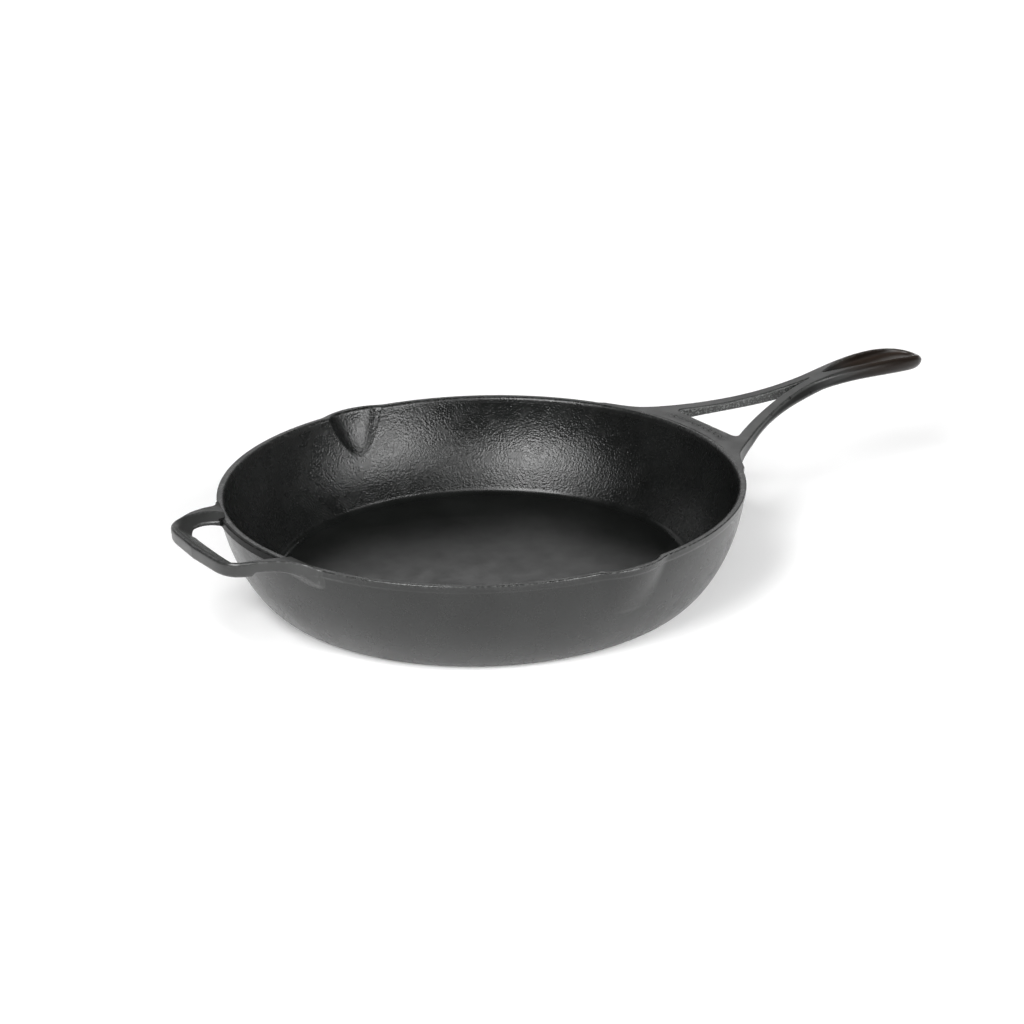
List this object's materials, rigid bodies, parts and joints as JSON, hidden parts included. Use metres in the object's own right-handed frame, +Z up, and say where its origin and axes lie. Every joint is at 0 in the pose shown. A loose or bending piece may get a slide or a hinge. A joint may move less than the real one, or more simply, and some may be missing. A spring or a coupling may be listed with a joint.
{
  "type": "skillet",
  "caption": "Round cast iron skillet with flared walls, two pour spouts, a long forked handle with a dished grip, and a helper loop opposite.",
  "frame": {"origin": "centre of the flat underside that stands on the stove", "axes": "+X along the long handle, +Y towards one of the two pour spouts, +Z up out of the pan"},
  "size_m": [0.5235, 0.317, 0.079],
  "materials": {
    "iron_floor": "satin, seasoned and smooth, fine grain",
    "iron_wall": "satin, seasoned, pebbled inside and smooth outside",
    "iron_lip": "satin, ground land with worn edges",
    "iron_handle": "satin, seasoned, rough on the faces inside the gaps"
  },
  "bodies": {
    "root": {"pan_floor": "iron_floor", "pan_wall": "iron_wall", "rim_lip": "iron_lip", "pour_spout_left": "iron_wall", "pour_spout_right": "iron_wall", "handle_yoke": "iron_handle", "handle_arm_left": "iron_handle", "handle_arm_right": "iron_handle", "handle_neck": "iron_handle", "handle_grip": "iron_handle", "yoke_pips": "iron_handle", "helper_bar": "iron_handle", "helper_arm_left": "iron_handle", "helper_arm_right": "iron_handle", "helper_strip": "iron_handle"}
  },
  "joints": []
}
